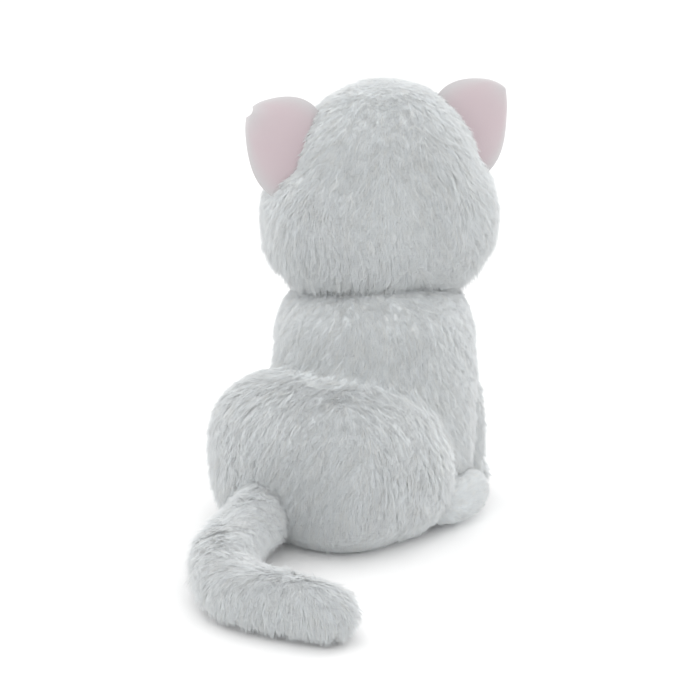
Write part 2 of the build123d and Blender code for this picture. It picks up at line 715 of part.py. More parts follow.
def head_button():
    """Touch button on top of the head shell, under the plush."""
    y = HEAD_SHELL_AT[1]
    top = HEAD_SHELL_AT[2] + HEAD_SHELL_R
    disc = Pos(0, y, top + 2.0) * extrude(Circle(9.0), 2.5)
    stem = Pos(0, y, top - 8.0) * extrude(Circle(3.0), 10.5)
    foot = Pos(0, y, top - 8.0) * extrude(Circle(4.2), 1.2)
    spring = Pos(0, y, top) * extrude(Circle(5.0) - Circle(3.4), 0.6)
    return one(disc + stem + foot), one(spring)


def back_button():
    """Touch button on the shell's back, under the plush."""
    z = 112
    y = SHELL_NECK_BACK
    disc = rod(9.0, (0, y + 2.2, z), (0, y + 4.7, z))
    stem = rod(3.0, (0, y - 7, z), (0, y + 3, z))
    foot = rod(4.2, (0, y - 7, z), (0, y - 5.8, z))
    spring = rod(5.0, (0, y, z), (0, y + 0.6, z)) - rod(3.4, (0, y - 1, z), (0, y + 3, z))
    return one(disc + stem + foot), one(spring)


def head_soft(pieces):
    """Head skin with stuffing, hollow where the shell, eyes, jaw and neck go."""
    head = ellipsoid(CRANIUM_AT, CRANIUM_SEMI) + ellipsoid(CHEEK_AT, CHEEK_SEMI)
    head -= ball((0, 0, 0), NECK_BALL_R + SOFT_GAP)
    head -= ball(HEAD_SHELL_AT, HEAD_SHELL_R)
    head -= jaw_room()
    for side in (-1, 1):
        head -= ball((side * EYE_X, EYE_Y, EYE_Z), LID_POCKET)
        head -= rod(14.5, (side * EYE_X, EYE_Y, EYE_Z), (side * EYE_X, -80, EYE_Z))
    top = HEAD_SHELL_AT[2] + HEAD_SHELL_R
    head -= Pos(0, HEAD_SHELL_AT[1], top - 6) * extrude(Circle(10.0), 11.0)
    for piece in pieces:
        head -= piece
    return one(head)


# ---------------------------------------------------------------- build
def build_body():
    outside = shell_solid()
    inside = shell_solid(-WALL)
    leg = front_leg()
    foot = one(hind_foot() - box((-200, -200, -20), (200, 200, 0)) - leg)
    legs = [leg, mirrored(leg)]
    feet = [foot, mirrored(foot)]
    block = base_outline(0, -1, SHELL_LOW)
    plush = soft_body(outside, block, legs, feet)
    button, button_spring = back_button()
    plush -= rod(10.0, (0, 0, 112), (0, SHELL_NECK_BACK + 5.2, 112))
    save("torso_plush", one(plush))
    save("front_leg_right", one(legs[0] - outside - block))
    save("front_leg_left", one(legs[1] - outside - block))
    save("hind_foot_right", one(feet[0] - outside - block))
    save("hind_foot_left", one(feet[1] - outside - block))
    left, right, shell_screws = body_shell(outside, inside)
    save("body_shell_left", left)
    save("body_shell_right", right)
    save("base_housing", base_housing())
    base_screws = [screw((x, y, 2.6), (0, 0, 1), SHELL_LOW + 3) for x, y in base_screw_places()]
    brace_screws = [screw((x, BASE_BACK + 2.6, 34), (0, -1, 0), 4.0) for x in (-11, 11)]
    save("housing_screws", *shell_screws, *base_screws, *brace_screws)
    save("battery_door", battery_door())
    save("battery_screw", screw((0, BAY_BACK - 4.0, SCREW_HEAD_THICK), (0, 0, 1), 2.6))
    save("battery_cells", *cells())
    save("battery_contacts", *contacts())
    basket, cone, magnet = speaker()
    save("speaker_basket", basket)
    save("speaker_cone", cone)
    save("speaker_magnet", magnet)
    knob, switch_body = power_switch()
    save("power_switch", knob)
    save("switch_body", switch_body)
    board, chips = circuit_board()
    save("circuit_board", board)
    save("board_chips", *chips)
    save("back_button", button)
    save("back_button_spring", button_spring)


def build_neck():
    save("gear_plate", gear_plate())
    save("neck_bush", neck_bush())
    save("neck_shaft", neck_shaft())
    wheel = gear(NECK_TEETH, GEAR_WIDE, SHAFT_R)
    save("neck_gear", Pos(NECK_X, NECK_Y, GEAR_Z) * Rot(0, 0, 90) * wheel)
    pinion = gear(PINION_TEETH, GEAR_WIDE, 1.5)
    save("neck_pinion", Pos(NECK_X, PINION_Y, GEAR_Z) * Rot(0, 0, mated(PINION_TEETH, 90)) * pinion)
    save("neck_motor", motor((NECK_X, PINION_Y, PLATE_Z), 11.5, 30, 1.5 - RUN, GEAR_Z + GEAR_WIDE - PLATE_Z))
    save("neck_yoke", neck_yoke())
    save("nod_axle", HEAD * rod(PIN_R, (-16.5, 0, 0), (16.5, 0, 0)))


def build_tail():
    core = tail_core()
    save("tail_core", core)
    pin_low = TAIL_DECK_LOW[0]
    save("tail_pin", rod(2.5, (0, TAIL_ROOT[1], pin_low), (0, TAIL_ROOT[1], TAIL_LID_Z + 1.8)))
    room = rod(6.0, (0, TAIL_ROOT[1], 0), (0, TAIL_ROOT[1], 60))
    save("tail_plush", one(tail_tube() - core - room))
    wheel = gear(TAIL_TEETH, TAIL_GEAR_WIDE, 2.5, sector=TAIL_FAN_MIDDLE + TAIL_FAN_HALF)
    wheel &= fan(2 * TAIL_REACH, TAIL_FAN_MIDDLE, TAIL_FAN_HALF, TAIL_HUB_R, TAIL_GEAR_WIDE)
    save("tail_sector", Pos(0, TAIL_ROOT[1], TAIL_GEAR_Z) * Rot(0, 0, -90) * one(wheel))
    pinion = gear(SMALL_TEETH, TAIL_GEAR_WIDE, 1.2)
    turn = mated(SMALL_TEETH, -90)
    save("tail_pinion", Pos(0, TAIL_PINION_Y, TAIL_GEAR_Z) * Rot(0, 0, turn) * pinion)
    save("tail_bracket", tail_bracket())
    save("tail_gear_lid", tail_gear_lid())
    top = TAIL_LID_Z + 1.8
    can = Pos(0, TAIL_PINION_Y, top) * Rot(180, 0, 0) * motor((0, 0, 0), 10.0, 24, 1.2 - RUN, top - TAIL_GEAR_Z)
    save("tail_motor", can)


def build_head():
    front, back = head_shell()
    save("head_shell_front", HEAD * front)
    save("head_shell_back", HEAD * back)
    save("head_bracket", HEAD * head_bracket())
    right_eye = eyes()
    save("eye_right", HEAD * right_eye)
    save("eye_left", HEAD * mirrored(right_eye))
    save("eye_carrier", HEAD * eye_carrier())
    right_lid = eyelid()
    save("eyelid_right", HEAD * right_lid)
    save("eyelid_left", HEAD * mirrored(right_lid))
    save("eyelid_axle", HEAD * rod(1.5, (-EYE_X - 17.0, EYE_Y, EYE_Z), (EYE_X + 17.0, EYE_Y, EYE_Z)))
    save("eyelid_weight", HEAD * eyelid_weight())
    snout = muzzle()
    tip = nose()
    left_ear = ear()
    ears = [left_ear, mirrored(left_ear)]
    solid_head = head_soft([snout, tip] + ears)
    save("head_plush", HEAD * solid_head)
    save("muzzle", HEAD * one(snout - tip))
    save("nose", HEAD * tip)
    cut = ball(HEAD_SHELL_AT, HEAD_SHELL_R)
    save("ear_left", HEAD * one(ears[0] - cut))
    save("ear_right", HEAD * one(ears[1] - cut))
    save("lower_jaw", HEAD * jaw_soft())
    save("jaw_frame", HEAD * jaw_frame())
    save("jaw_pin", HEAD * rod(1.5, (-19, JAW_Y, JAW_Z), (19, JAW_Y, JAW_Z)))
    save("jaw_pinion", HEAD * jaw_pinion())
    save("jaw_motor", HEAD * jaw_motor())
    button, spring = head_button()
    save("head_button", HEAD * button)
    save("head_button_spring", HEAD * spring)


build_body()
build_neck()
build_tail()
build_head()
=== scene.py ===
import json
from math import cos, pi, radians, sin, sqrt

import bmesh
import bpy
import numpy as np
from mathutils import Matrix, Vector, kdtree


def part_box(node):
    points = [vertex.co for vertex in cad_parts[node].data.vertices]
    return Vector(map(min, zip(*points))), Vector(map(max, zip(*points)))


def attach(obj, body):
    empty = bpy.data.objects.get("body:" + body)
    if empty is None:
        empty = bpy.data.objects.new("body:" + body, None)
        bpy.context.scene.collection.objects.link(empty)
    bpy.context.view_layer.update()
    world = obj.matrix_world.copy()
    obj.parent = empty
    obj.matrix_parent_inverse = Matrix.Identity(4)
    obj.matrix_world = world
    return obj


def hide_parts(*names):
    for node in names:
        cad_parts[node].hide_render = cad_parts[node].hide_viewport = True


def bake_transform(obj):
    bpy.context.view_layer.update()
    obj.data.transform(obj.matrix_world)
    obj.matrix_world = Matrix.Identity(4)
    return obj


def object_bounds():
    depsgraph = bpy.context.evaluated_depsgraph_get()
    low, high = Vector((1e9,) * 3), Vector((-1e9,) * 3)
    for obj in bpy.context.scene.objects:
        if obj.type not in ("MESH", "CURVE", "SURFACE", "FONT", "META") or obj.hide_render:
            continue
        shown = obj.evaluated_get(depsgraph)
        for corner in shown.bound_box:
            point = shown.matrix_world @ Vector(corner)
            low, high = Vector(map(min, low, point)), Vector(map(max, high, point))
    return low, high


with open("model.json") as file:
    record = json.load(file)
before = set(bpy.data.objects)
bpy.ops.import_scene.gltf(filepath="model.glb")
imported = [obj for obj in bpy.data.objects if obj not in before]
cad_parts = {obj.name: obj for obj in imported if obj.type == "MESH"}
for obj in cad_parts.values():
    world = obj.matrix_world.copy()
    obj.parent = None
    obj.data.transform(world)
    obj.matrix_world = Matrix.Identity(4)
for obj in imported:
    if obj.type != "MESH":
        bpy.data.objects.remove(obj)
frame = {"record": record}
CAD_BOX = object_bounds()
MM = 0.001
SQUARE_MM = 1e6  # square millimetres in a square metre
RNG = np.random.default_rng(7)

# ---------------------------------------------------------------- places, from the frame
JOINTS = {joint["name"]: joint for joint in frame["record"]["behaviour"]["joints"]}
PIVOT = np.array(JOINTS["head_nod"]["pos_m"])
HEAD_X = np.array(JOINTS["head_nod"]["axis"])
HEAD_Z = -np.array(JOINTS["crown_press"]["axis"])
HEAD_Y = np.cross(HEAD_Z, HEAD_X)
HEAD_TURN = np.column_stack([HEAD_X, HEAD_Y, HEAD_Z])
TAIL_ROOT = np.array(JOINTS["tail_swing"]["pos_m"])
TORSO_HIGH = np.array(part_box("torso_plush")[1])
TAIL_LOW, TAIL_HIGH = (np.array(corner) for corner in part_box("tail_plush"))

PILE = 0.0090  # length of the long pile
STRAND = 0.00042  # width of a strand at its root
# three faces each, which keeps a piece under the face limit
STRANDS_PER_PIECE = 60000  # three faces each, so a piece holds at most 180,000 faces
LUMP = 0.0007  # how far the stuffing bulges the skins
LEAN = -7.0  # how far the stuffing of the crown leans to the cat's right, in millimetres
EAR_BACK = 6.0  # how far the ears stand behind the head's side-to-side plane, in millimetres
EAR_LOW_IN, EAR_LOW_OUT, EAR_TIP = (30.0, 97.0), (60.0, 55.0), (79.0, 112.0)  # across and up, from the pivot
EAR_END = 0.985  # how much of the ear's taper is made, which leaves its tip blunt
NECK_ROOM = 0.0315  # the head's underside is hollowed round the pivot to this radius
CHEST_X, CHEST_Y = 2.5, 1.8  # where the upright chest stands, in millimetres
CHEST_LEVELS = [2, 12, 30, 60, 92, 110, 122, 131, 138, 143, 147]
CHEST_RADII = [50, 56, 59.5, 60, 60, 59.5, 58.5, 56, 51, 44, 34]
RUMP_LENGTH, RUMP_HEIGHT, RUMP_SEMI = 60, 44, (69, 55, 53)
HAUNCH, HAUNCH_SEMI = (48, 40, 37), (24, 35, 37)
SHOULDER_SEMI = (28, 28, 26)  # fills the chest up to the neck's pivot
LEG_LINE = [(28, -42, 9), (28, -43, 30), (28, -42, 52), (28, -38, 70), (27, -30, 88)]  # floor to chest
LEG_RADII = [15.5, 15.8, 16.0, 15.6, 14.0]
PAW, PAW_SEMI = (26, -51, 12.5), (14, 18, 12)
FOOT, FOOT_SEMI, FOOT_SPLAY = (55, -5, 14.5), (16.0, 30, 14), 8
LEG_PILE, FOOT_PILE, FACE_PILE = 0.0085, 0.0042, 0.0032
TORSO_DENSITY = 2.7  # strands to a square millimetre
HEAD_DENSITY = 2.7
TAIL_DENSITY = 2.8


def head_point(x, y, z):
    """A point given in millimetres in the head's own axes, from the pivot."""
    return PIVOT + HEAD_TURN @ (np.array([x, y, z]) * MM)


# ---------------------------------------------------------------- camera and light
CAMERA_AZIMUTH = 220.0
CAMERA_HEIGHT = 20.0
CAMERA_REACH = 1.0
CAMERA_STAND = np.array([0.000, 0.026, 0.0])  # the camera's reach is measured from here
CAMERA_AIM = np.array([0.001, 0.028, 0.1055])
CAMERA_LENS = 81.5
FLOOR_HALF = 40.0
FLOOR_GAP = 0.0002


def add_camera():
    """Camera behind the cat's right side, a little above it."""
    turn, rise = radians(CAMERA_AZIMUTH), radians(CAMERA_HEIGHT)
    back = np.array([sin(turn) * cos(rise), -cos(turn) * cos(rise), sin(rise)])
    camera = bpy.data.objects.new("camera", bpy.data.cameras.new("camera"))
    bpy.context.scene.collection.objects.link(camera)
    camera.location = CAMERA_STAND + back * CAMERA_REACH
    look = CAMERA_AIM - np.array(camera.location)
    camera.rotation_euler = Vector(look).to_track_quat("-Z", "Y").to_euler()
    camera.data.lens = CAMERA_LENS
    camera.data.sensor_width = 36.0
    camera.data.clip_end = 120.0
    bpy.context.scene.camera = camera


def area_light(name, place, aim, size, power):
    data = bpy.data.lights.new(name, "AREA")
    data.shape = "DISK"
    data.size = size
    data.energy = power
    lamp = bpy.data.objects.new(name, data)
    bpy.context.scene.collection.objects.link(lamp)
    lamp.location = place
    lamp.rotation_euler = (Vector(aim) - Vector(place)).to_track_quat("-Z", "Y").to_euler()


def add_light():
    """Even white studio light from all sides, with a soft key above."""
    world = bpy.data.worlds.new("studio")
    world.use_nodes = True
    world.node_tree.nodes["Background"].inputs["Color"].default_value = (1.0, 1.0, 1.0, 1.0)
    world.node_tree.nodes["Background"].inputs["Strength"].default_value = 1.14
    bpy.context.scene.world = world
    area_light("key", (-0.9, 1.0, 1.5), (0, 0, 0.12), 1.2, 4.5)
    area_light("fill", (1.3, 0.2, 1.1), (0, 0, 0.12), 1.4, 2.5)
    area_light("front", (-0.2, -1.5, 1.0), (0, 0, 0.12), 1.4, 4.0)
    view = bpy.context.scene.view_settings
    view.view_transform = "Standard"
    view.look = "None"
    view.exposure = 0.0


def add_floor():
    """Plain pale floor, wide enough for every view."""
    mesh = bpy.data.meshes.new("floor")
    half = FLOOR_HALF
    level = float(CAD_BOX[0][2]) - FLOOR_GAP
    corners = [(-half, -half, level), (half, -half, level), (half, half, level), (-half, half, level)]
    mesh.from_pydata(corners, [], [(0, 1, 2, 3)])
    floor = bpy.data.objects.new("floor", mesh)
    bpy.context.scene.collection.objects.link(floor)
    material = bpy.data.materials.new("floor_paper")
    material.use_nodes = True
    shader = material.node_tree.nodes["Principled BSDF"]
    shader.inputs["Base Color"].default_value = (0.97, 0.97, 0.97, 1)
    shader.inputs["Roughness"].default_value = 0.9
    mesh.materials.append(material)


# ---------------------------------------------------------------- materials
def new_material(name):
    material = bpy.data.materials.new(name)
    material.use_nodes = True
    return material, material.node_tree, material.node_tree.nodes["Principled BSDF"]


def noise(tree, scale, detail=3.0, vector=None):
    node = tree.nodes.new("ShaderNodeTexNoise")
    node.inputs["Scale"].default_value = scale
    node.inputs["Detail"].default_value = detail
    if vector is None:
        place = tree.nodes.new("ShaderNodeTexCoord")
        vector = place.outputs["Object"]
    tree.links.new(vector, node.inputs["Vector"])
    return node.outputs["Fac"]


def ramp(tree, factor, stops):
    node = tree.nodes.new("ShaderNodeValToRGB")
    elements = node.color_ramp.elements
    while len(elements) < len(stops):
        elements.new(0.5)
    for element, (place, colour) in zip(elements, stops):
        element.position = place
        element.color = (*colour, 1.0)
    tree.links.new(factor, node.inputs["Fac"])
    return node.outputs["Color"]


def bump(tree, shader, height, strength, distance):
    node = tree.nodes.new("ShaderNodeBump")
    node.inputs["Strength"].default_value = strength
    node.inputs["Distance"].default_value = distance
    tree.links.new(height, node.inputs["Height"])
    tree.links.new(node.outputs["Normal"], shader.inputs["Normal"])


def spread(tree, factor, low, high):
    node = tree.nodes.new("ShaderNodeMapRange")
    node.inputs["To Min"].default_value = low
    node.inputs["To Max"].default_value = high
    tree.links.new(factor, node.inputs["Value"])
    return node.outputs["Result"]


def patterned(name, light, dark, scale, rough, grain, depth, metallic=0.0, coat=0.0, sheen=0.0):
    """A surface whose colour, roughness and grain all vary with noise."""
    material, tree, shader = new_material(name)
    broad = noise(tree, scale)
    tree.links.new(ramp(tree, broad, [(0.3, dark), (0.7, light)]), shader.inputs["Base Color"])
    tree.links.new(spread(tree, broad, rough[0], rough[1]), shader.inputs["Roughness"])
    bump(tree, shader, noise(tree, grain, 6.0), 0.5, depth)
    shader.inputs["Metallic"].default_value = metallic
    shader.inputs["Coat Weight"].default_value = coat
    shader.inputs["Sheen Weight"].default_value = sheen
    return material


FUR_TONES = {
    "fur_bright": (0.89, 0.925, 0.93),
    "fur_cool": (0.84, 0.885, 0.905),
    "fur_plain": (0.85, 0.885, 0.895),
    "fur_warm": (0.865, 0.885, 0.872),
    "fur_shade": (0.77, 0.805, 0.815),
}


def fur_materials():
    """One shader for each tone of the pile; every strand takes one of them."""
    made = []
    for name, colour in FUR_TONES.items():
        material, tree, shader = new_material(name)
        shader.inputs["Base Color"].default_value = (*colour, 1.0)
        shader.inputs["Roughness"].default_value = 0.62
        shader.inputs["Specular IOR Level"].default_value = 0.25
        shader.inputs["Sheen Weight"].default_value = 0.5
        shader.inputs["Sheen Roughness"].default_value = 0.6
        made.append(material)
    return made


# ---------------------------------------------------------------- soft forms
def ring_faces(rings, around):
    """Faces between neighbouring rings of points, each ring closed on itself."""
    faces = []
    for row in range(rings - 1):
        low, high = row * around, (row + 1) * around
        for k in range(around):
            after = (k + 1) % around
            faces.append((low + k, low + after, high + after, high + k))
    return faces


def blob(centre, semi, power=2.0, turn=None):
    """Points and faces of a superellipsoid, in millimetres."""
    around, up = 48, 26
    u = np.linspace(0, 2 * pi, around, endpoint=False)
    v = np.linspace(-pi / 2, pi / 2, up)
    curve = 2.0 / power
    shape = lambda t: np.sign(t) * np.abs(t) ** curve
    rows = []
    for angle in v:
        ring = shape(np.cos(angle))
        rows.append(np.column_stack([
            shape(np.cos(u)) * ring * semi[0],
            shape(np.sin(u)) * ring * semi[1],
            np.full(around, shape(np.sin(angle)) * semi[2]),
        ]))
    points = np.concatenate(rows)
    if turn is not None:
        points = points @ np.array(turn).T
    points = points + np.array(centre)
    return points, ring_faces(up, around)


def turned_z(angle):
    c, s = cos(radians(angle)), sin(radians(angle))
    return [[c, -s, 0], [s, c, 0], [0, 0, 1]]


def tube(points, radii, around=28):
    """Points and faces of a closed round tube along a line of points."""
    points = np.array(points)
    runs = np.gradient(points, axis=0)
    runs /= np.linalg.norm(runs, axis=1)[:, None]
    made = []
    side = np.cross(runs[0], [0, 0.2, 1.0] if abs(runs[0][2]) < 0.9 else [1.0, 0, 0])
    for point, run, radius in zip(points, runs, radii):
        side = side - run * (side @ run)
        side /= np.linalg.norm(side)
        other = np.cross(run, side)
        angle = np.linspace(0, 2 * pi, around, endpoint=False)[:, None]
        made.append(point + radius * (np.cos(angle) * side + np.sin(angle) * other))
    faces = ring_faces(len(points), around)
    faces.append(tuple(range(around))[::-1])
    last = (len(points) - 1) * around
    faces.append(tuple(last + k for k in range(around)))
    return np.concatenate(made), faces


def object_from(name, points, faces):
    mesh = bpy.data.meshes.new(name)
    mesh.from_pydata([tuple(p) for p in points], [], faces)
    mesh.update()
    made = bpy.data.objects.new(name, mesh)
    bpy.context.scene.collection.objects.link(made)
    return made


def apply_all(piece):
    """Applies every modifier of a piece and gives its final mesh to it."""
    graph = bpy.context.evaluated_depsgraph_get()
    mesh = bpy.data.meshes.new_from_object(piece.evaluated_get(graph))
    piece.modifiers.clear()
    piece.data = mesh


def skin(name, forms, voxel=0.0035, smooth=12, shape=None):
    """One closed skin from several overlapping forms, given in metres."""
    points, faces = [], []
    for form_points, form_faces in forms:
        offset = sum(len(p) for p in points)
        points.append(form_points)
        faces += [tuple(i + offset for i in face) for face in form_faces]
    piece = object_from(name, np.concatenate(points), faces)
    remesh = piece.modifiers.new("remesh", "REMESH")
    remesh.mode = "VOXEL"
    remesh.voxel_size = voxel
    remesh.use_smooth_shade = True
    relax = piece.modifiers.new("relax", "SMOOTH")
    relax.factor = 0.5
    relax.iterations = smooth
    apply_all(piece)
    if shape is not None:
        read = np.empty(len(piece.data.vertices) * 3)
        piece.data.vertices.foreach_get("co", read)
        read = read.reshape(-1, 3)
        shaped = shape(read + LUMP * wander(read, 0.020, 5))
        piece.data.vertices.foreach_set("co", shaped.ravel())
        piece.data.update()
    for polygon in piece.data.polygons:
        polygon.use_smooth = True
    return piece


def in_metres(form):
    return form[0] * MM, form[1]


def in_head(form):
    """A form laid out in the head's axes in millimetres, put where the head is."""
    return PIVOT + (form[0] * MM) @ HEAD_TURN.T, form[1]


def on_floor(points, level=0.0006):
    """Flattens what would be under the floor."""
    points = points.copy()
    points[:, 2] = np.maximum(points[:, 2], level)
    return points


def wander(points, scale, seed, waves=7):
    """Smooth three-way noise over points: a few long sine waves in random directions."""
    own = np.random.default_rng(seed)
    total = np.zeros((len(points), 3))
    for _ in range(waves):
        way = own.normal(size=(3, 3)) / scale
        phase = own.uniform(0, 2 * pi, 3)
        total += np.sin(points @ way + phase)
    return total / sqrt(waves)


# ---------------------------------------------------------------- pile
def sample_surface(piece, density, keep):
    """Random roots on a skin: places, smooth normals."""
    mesh = piece.data
    mesh.calc_loop_triangles()
    count = len(mesh.loop_triangles)
    corner = np.empty(count * 3, dtype=np.int32)
    mesh.loop_triangles.foreach_get("vertices", corner)
    corner = corner.reshape(-1, 3)
    place = np.empty(len(mesh.vertices) * 3)
    mesh.vertices.foreach_get("co", place)
    place = place.reshape(-1, 3)
    normal = np.empty(len(mesh.vertices) * 3)
    mesh.vertex_normals.foreach_get("vector", normal)
    normal = normal.reshape(-1, 3)
    a, b, c = place[corner[:, 0]], place[corner[:, 1]], place[corner[:, 2]]
    area = np.linalg.norm(np.cross(b - a, c - a), axis=1) / 2
    total = int(area.sum() * SQUARE_MM * density)
    pick = RNG.choice(count, size=total, p=area / area.sum())
    u = np.sqrt(RNG.random(total))[:, None]
    v = RNG.random(total)[:, None]
    weights = np.concatenate([1 - u, u * (1 - v), u * v], axis=1)
    roots = sum(place[corner[pick, k]] * weights[:, k:k + 1] for k in range(3))
    normals = sum(normal[corner[pick, k]] * weights[:, k:k + 1] for k in range(3))
    normals /= np.linalg.norm(normals, axis=1)[:, None]
    wanted = keep(roots, normals)
    return roots[wanted], normals[wanted]


def even_length(pile):
    """The same strand length all over a piece."""
    return lambda roots: np.full(len(roots), pile)


def unit(vectors):
    return vectors / np.maximum(np.linalg.norm(vectors, axis=1), 1e-9)[:, None]


def nearest(points, centres):
    tree = kdtree.KDTree(len(centres))
    for index, centre in enumerate(centres):
        tree.insert(centre, index)
    tree.balance()
    return np.array([tree.find(point)[1] for point in points])


def grow(name, roots, normals, comb, length, width, lie, clump, seed, materials, body, tones):
    """Grows three-sided tapered strands from roots and makes pieces of them that ride on a body."""
    count = len(roots)
    own = np.random.default_rng(seed)
    clumps = max(count // 26, 4)
    chosen = own.choice(count, clumps, replace=False)
    member = nearest(roots, roots[chosen])
    centre = roots[chosen][member]
    flow = comb(roots) + 0.28 * wander(roots, 0.018, seed) + 0.16 * own.normal(size=(count, 3))
    flow = unit(flow - normals * np.sum(flow * normals, axis=1)[:, None])
    lock_turn = own.normal(size=(clumps, 3))[member]
    flow = unit(flow + 0.20 * (lock_turn - normals * np.sum(lock_turn * normals, axis=1)[:, None]))
    size = length(roots) * own.uniform(0.72, 1.15, count) * own.uniform(0.85, 1.12, clumps)[member]
    size = size[:, None]
    slope = lie + own.normal(scale=0.11, size=(count, 1)) + own.normal(scale=0.10, size=(clumps, 1))[member]
    rise = normals * np.sin(slope) + flow * np.cos(slope)
    tip = roots + size * rise
    tip = tip * (1 - clump) + (centre + (tip - roots)) * clump
    reach = unit(tip - roots)
    across = unit(np.cross(reach, normals))
    outward = np.cross(across, reach)
    wide = width * own.uniform(0.7, 1.25, (count, 1)) / 2
    corners, facing = [], []
    for turn in (radians(90), radians(210), radians(330)):
        side = across * np.cos(turn) + outward * np.sin(turn)
        corners.append(roots + side * wide)
        facing.append(unit(normals + 0.45 * side))
    points = np.stack([*corners, tip], axis=1)
    points[:, :, 2] = np.maximum(points[:, :, 2], 0.0008)
    facing = np.stack([*facing, normals], axis=1)
    tone = pick_tones(roots, member, clumps, own, tones)
    pieces = []
    for part in range(0, count, STRANDS_PER_PIECE):
        rows = slice(part, min(part + STRANDS_PER_PIECE, count))
        label = f"{name}_{part // STRANDS_PER_PIECE + 1}"
        pieces.append(strand_piece(label, points[rows], facing[rows], tone[rows], materials, body))
    return pieces


def slope_for(normals, plain=20.0, on_top=10.0, below=20.0):
    """Strand slope off the skin in radians: flatter where it faces up, looser where it turns under."""
    up = np.clip((normals[:, 2] - 0.15) / 0.45, 0, 1)[:, None]
    under = np.clip((-normals[:, 2] - 0.05) / 0.40, 0, 1)[:, None]
    return np.radians(plain + (on_top - plain) * up + (below - plain) * under)


def pick_tones(roots, member, clumps, own, tones):
    """A tone for every strand: mostly its lock's, which follows broad patches on the body."""
    patch = wander(roots, 0.022, 91)[:, 0] * 0.5
    lock = own.normal(size=clumps)[member]
    mixed = 0.8 * patch + 0.9 * lock + 0.6 * own.normal(size=len(roots))
    limits = np.quantile(mixed, np.cumsum(tones)[:-1])
    return np.searchsorted(limits, mixed)


def strand_piece(name, points, facing, tone, materials, body):
    """One mesh of strands: three corners at the root and a tip each."""
    count = len(points)
    mesh = bpy.data.meshes.new(name)
    corners, faces = 4, 3
    mesh.vertices.add(count * corners)
    mesh.vertices.foreach_set("co", points.ravel())
    base = np.arange(count)[:, None] * corners
    loops = (base + np.array([1, 0, 3, 2, 1, 3, 0, 2, 3])).ravel()
    mesh.loops.add(len(loops))
    mesh.loops.foreach_set("vertex_index", loops.astype(np.int32))
    starts = np.arange(count * faces) * 3
    mesh.polygons.add(count * faces)
    mesh.polygons.foreach_set("loop_start", starts.astype(np.int32))
    mesh.polygons.foreach_set("material_index", np.repeat(tone, faces).astype(np.int32))
    mesh.update(calc_edges=True)
    for material in materials:
        mesh.materials.append(material)
    mesh.polygons.foreach_set("use_smooth", np.ones(count * faces, dtype=bool))
    mesh.normals_split_custom_set_from_vertices(facing.reshape(-1, 3))
    piece = bpy.data.objects.new(name, mesh)
    bpy.context.scene.collection.objects.link(piece)
    if body is not None:
        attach(piece, body)
    return piece


EVEN_TONES = (0.24, 0.22, 0.26, 0.16, 0.12)


# ---------------------------------------------------------------- the cat
def make_torso(fabric, fur):
    back = TORSO_HIGH[1] / MM
    chest = tube([(CHEST_X, CHEST_Y, z) for z in CHEST_LEVELS], CHEST_RADII, 48)
    forms = [
        in_metres(chest),
        in_metres(blob((0, back - RUMP_LENGTH, RUMP_HEIGHT), RUMP_SEMI, 2.8)),
        in_metres(blob((-HAUNCH[0], HAUNCH[1], HAUNCH[2]), HAUNCH_SEMI, 2.3)),
        in_metres(blob(HAUNCH, HAUNCH_SEMI, 2.3)),
        in_metres(blob((0, 0, PIVOT[2] / MM), SHOULDER_SEMI, 2.0)),
    ]
    piece = skin("torso_skin", forms, smooth=14, shape=on_floor)
    piece.data.materials.append(fabric)
    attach(piece, "torso")
    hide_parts("torso_plush")

    def keep(roots, normals):
        far_from_neck = np.linalg.norm(roots - PIVOT, axis=1) > 0.033
        return (roots[:, 2] > 0.0035) & (normals[:, 2] > -0.8) & far_from_neck

    def comb(roots):
        down = np.tile([0.0, 0.12, -1.0], (len(roots), 1))
        outward = roots - np.array([0, 0.02, 0])
        outward[:, 2] = 0
        return down + 0.25 * unit(outward)

    def length(roots):
        near_floor = np.clip((roots[:, 2] - 0.002) / 0.02, 0.45, 1.0)
        near_neck = np.clip((PIVOT[2] + 0.002 - roots[:, 2]) / 0.02, 0.8, 1.0)
        return PILE * near_floor * near_neck

    roots, normals = sample_surface(piece, TORSO_DENSITY, keep)
    slope = slope_for(normals)
    grow("torso_fur", roots, normals, comb, length, STRAND, slope, 0.20, 11, fur, "torso", EVEN_TONES)


def make_limb(name, forms, fabric, fur, node, density, pile, seed, body, comb_way):
    piece = skin(name + "_skin", forms, voxel=0.002, smooth=8, shape=on_floor)
    piece.data.materials.append(fabric)
    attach(piece, body)
    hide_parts(node)

    def keep(roots, normals):
        return (roots[:, 2] > 0.0025) & (normals[:, 2] > -0.75)

    roots, normals = sample_surface(piece, density * (1.8), keep)
    length = even_length(pile)
    slope = radians(24)
    grow(name + "_fur", roots, normals, comb_way, length, 0.0007, slope, 0.35, seed, fur, body, EVEN_TONES)


def make_legs(fabric, fur):
    """Front legs combed down and hind feet combed forward, one of each on either side."""
    def down(roots):
        return np.tile([0.0, -0.15, -1.0], (len(roots), 1))

    def forward(roots):
        return np.tile([0.0, -1.0, -0.25], (len(roots), 1))

    def to_side(spot):
        return side * spot[0], spot[1], spot[2]

    for side, word in ((-1, "right"), (1, "left")):
        leg = tube([to_side(spot) for spot in LEG_LINE], LEG_RADII)
        paw = blob(to_side(PAW), PAW_SEMI, 2.2)
        forms = [in_metres(leg), in_metres(paw)]
        name = "front_leg_" + word
        make_limb(name, forms, fabric, fur, name, 1.4, LEG_PILE, 21 + side, "torso", down)
        foot = blob(to_side(FOOT), FOOT_SEMI, 2.3, turned_z(-side * FOOT_SPLAY))
        name = "hind_foot_" + word
        make_limb(name, [in_metres(foot)], fabric, fur, name, 1.6, FOOT_PILE, 31 + side, "torso", forward)


